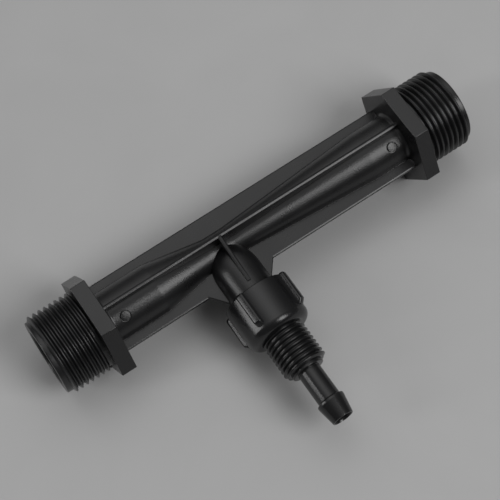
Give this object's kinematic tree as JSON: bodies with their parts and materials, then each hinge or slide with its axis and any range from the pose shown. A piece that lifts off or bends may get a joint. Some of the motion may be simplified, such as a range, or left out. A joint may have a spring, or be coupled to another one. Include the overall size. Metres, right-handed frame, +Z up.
{
  "type": "venturi fertilizer injector",
  "caption": "Ribbed venturi injector with male pipe threads, hexagons, and a side suction cap with a threaded spigot and hose barb.",
  "frame": {"origin": "centre of the inlet's end face, on the flow axis", "axes": "+X along the flow from inlet to outlet, -Y towards the suction side, +Z up, with the part lying on the lower flats of its two hexagons"},
  "size_m": [0.1466, 0.0811, 0.03],
  "materials": {
    "body_moulding": "satin black polypropylene, fine mould grain",
    "cap_moulding": "satin black polypropylene, slightly glossier",
    "seal_rubber": "matt black rubber",
    "ball_steel": "polished stainless steel",
    "spring_steel": "drawn stainless wire"
  },
  "bodies": {
    "body": {"injector_body": "body_moulding", "check_spring": "spring_steel"},
    "seal": {"seal_ring": "seal_rubber"},
    "cap": {"suction_cap": "cap_moulding"},
    "ball": {"check_ball": "ball_steel"}
  },
  "joints": [
    {"name": "cap_travel", "type": "slide", "parent": "body", "child": "seal", "axis": [0, -1, 0], "range_m": [0, 0.0075]},
    {"name": "cap_turn", "type": "hinge", "parent": "seal", "child": "cap", "pos_m": [0.0612, -0.03, 0], "axis": [0, -1, 0], "range_deg": [0, 1800]},
    {"name": "ball_lift", "type": "slide", "parent": "cap", "child": "ball", "axis": [0, 1, 0], "range_m": [0, 0.0015], "stiffness_N_per_m": 20, "springref_m": -0.001, "deforming": ["check_spring"]}
  ],
  "couplings": [
    {"joint": "cap_travel", "follows": "cap_turn", "m_per_rad": 0.00023873}
  ]
}
